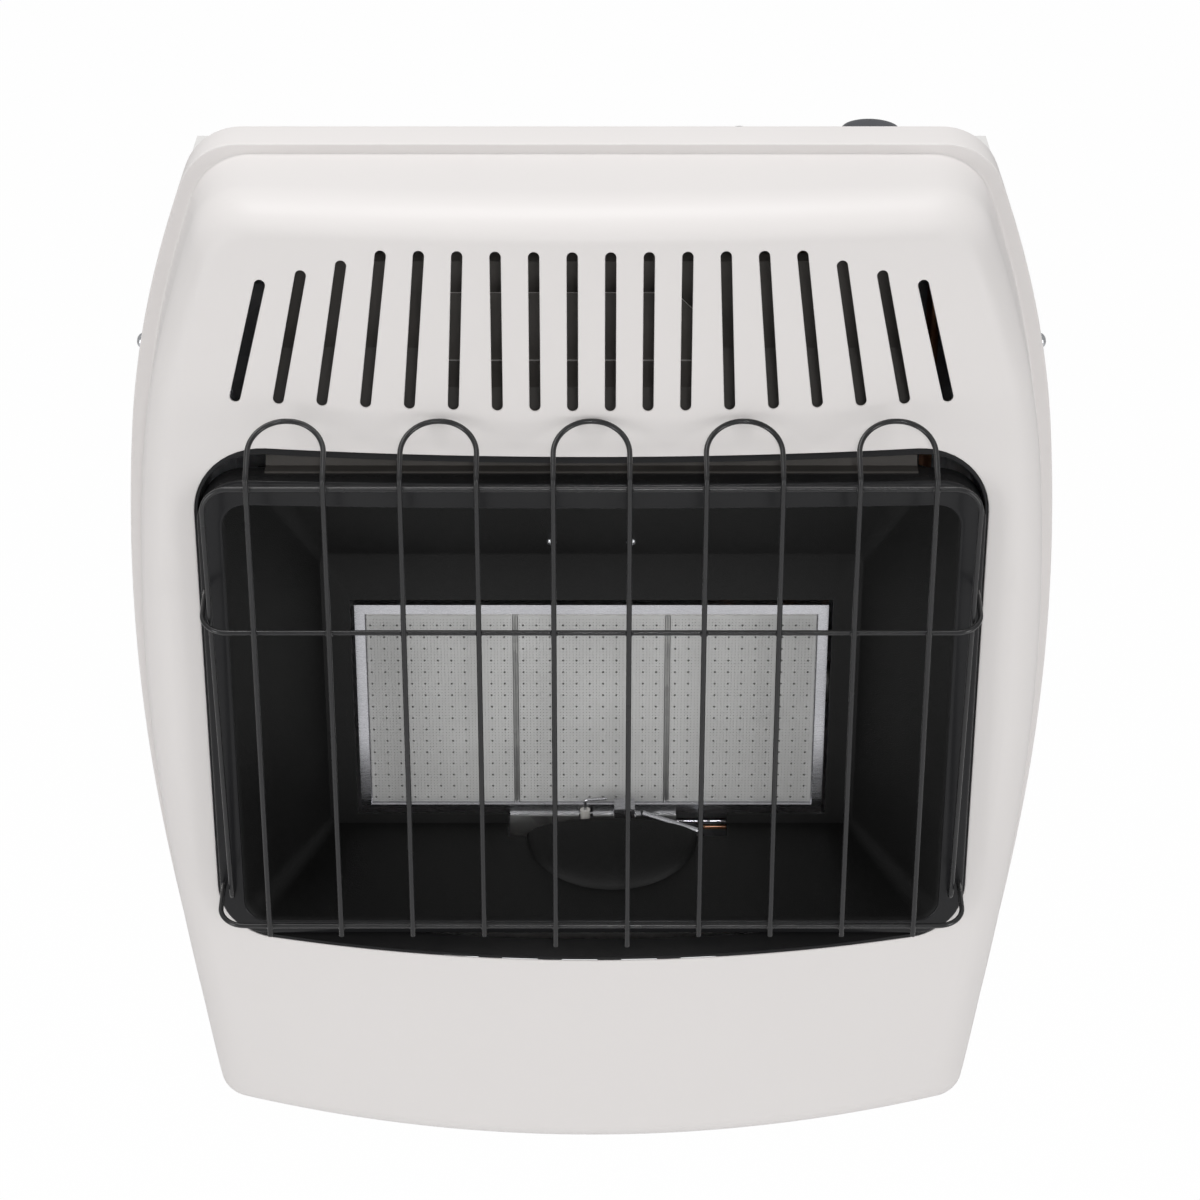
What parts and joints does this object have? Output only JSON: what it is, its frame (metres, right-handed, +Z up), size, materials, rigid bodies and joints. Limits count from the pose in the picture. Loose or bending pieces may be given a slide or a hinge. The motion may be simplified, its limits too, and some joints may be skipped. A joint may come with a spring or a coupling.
{
  "type": "wall mounted gas heater",
  "caption": "Wall mounted gas heater with a bowed slotted cover, deep black firebox, ceramic plaque burner, round bar guard, pushed and turned control knob and igniter button.",
  "frame": {"origin": "on the wall face of the back sheet, half way up the front cover and midway between its sides", "axes": "+X towards the right as seen from the room, +Y into the wall, +Z up"},
  "size_m": [0.561, 0.2295, 0.618],
  "materials": {
    "cover_enamel": "smooth warm white enamel, satin gloss",
    "case_enamel": "warm white enamel, satin",
    "black_strip": "satin black paint",
    "gloss_black_enamel": "glossy black enamel",
    "matt_black_enamel": "matt heat resistant black, slightly grainy",
    "guard_enamel": "glossy black enamel on round bar",
    "dark_sheet": "heat darkened black paint",
    "zinc_sheet": "zinc coated sheet steel, dull",
    "burner_steel": "aluminised sheet steel, dull",
    "bright_steel": "bright rolled stainless steel",
    "screw_steel": "bright zinc plated steel",
    "plaque_ceramic": "unglazed perforated infrared plaque",
    "gasket_fibre": "felted ceramic fibre",
    "glazed_sleeve": "glazed insulator",
    "brass": "turned brass",
    "copper_tube": "drawn copper tube, slightly dulled",
    "cast_alloy": "die cast alloy, fine grain",
    "knob_plastic": "blue-black moulded plastic, glossy",
    "button_plastic": "black moulded plastic",
    "lead_rubber": "silicone rubber lead"
  },
  "bodies": {
    "heater": {"front_cover": "cover_enamel", "cover_screws": "screw_steel", "opening_lining": "black_strip", "case_back": "zinc_sheet", "case_side_left": "case_enamel", "case_side_right": "case_enamel", "case_top": "case_enamel", "case_bottom": "case_enamel", "wall_bracket": "zinc_sheet", "firebox_frame": "gloss_black_enamel", "firebox_liner": "matt_black_enamel", "liner_screws": "screw_steel", "side_shield_left": "zinc_sheet", "side_shield_right": "zinc_sheet", "heat_deflector": "dark_sheet", "slot_baffle": "dark_sheet", "burner_box": "burner_steel", "burner_trim": "bright_steel", "tile_gasket": "gasket_fibre", "burner_tile_1": "plaque_ceramic", "burner_tile_2": "plaque_ceramic", "burner_tile_3": "plaque_ceramic", "tile_dividers": "burner_steel", "mixing_tube": "burner_steel", "injector": "brass", "burner_supports": "zinc_sheet", "burner_supply_tube": "copper_tube", "gas_valve": "cast_alloy", "valve_nut": "screw_steel", "igniter_body": "button_plastic", "igniter_nut": "screw_steel", "ignition_lead": "lead_rubber", "gas_regulator": "cast_alloy", "regulator_shelf": "zinc_sheet", "gas_feed_tube": "copper_tube", "pilot_bracket": "burner_steel", "pilot_burner": "bright_steel", "pilot_screws": "screw_steel", "pilot_tube": "bright_steel", "thermocouple": "copper_tube", "thermocouple_tip": "bright_steel", "spark_electrode": "glazed_sleeve", "spark_wire": "bright_steel", "guard_hairpin_1": "guard_enamel", "guard_hairpin_2": "guard_enamel", "guard_hairpin_3": "guard_enamel", "guard_hairpin_4": "guard_enamel", "guard_hairpin_5": "guard_enamel", "guard_top_bar": "guard_enamel", "guard_middle_bar": "guard_enamel", "guard_bottom_bar": "guard_enamel"},
    "collar": {"spindle_collar": "brass"},
    "knob": {"valve_spindle": "screw_steel", "control_knob": "knob_plastic"},
    "button": {"igniter_button": "button_plastic"}
  },
  "joints": [
    {"name": "knob_push", "type": "slide", "parent": "heater", "child": "collar", "axis": [0, 0, -1], "range_m": [0, 0.004], "stiffness_N_per_m": 900, "springref_m": -0.004},
    {"name": "knob_turn", "type": "hinge", "parent": "collar", "child": "knob", "pos_m": [0.164, -0.046, 0.276], "axis": [0, 0, 1], "range_deg": [0, 225]},
    {"name": "igniter_press", "type": "slide", "parent": "heater", "child": "button", "axis": [0, 0, -1], "range_m": [0, 0.006], "stiffness_N_per_m": 700, "springref_m": -0.004}
  ]
}
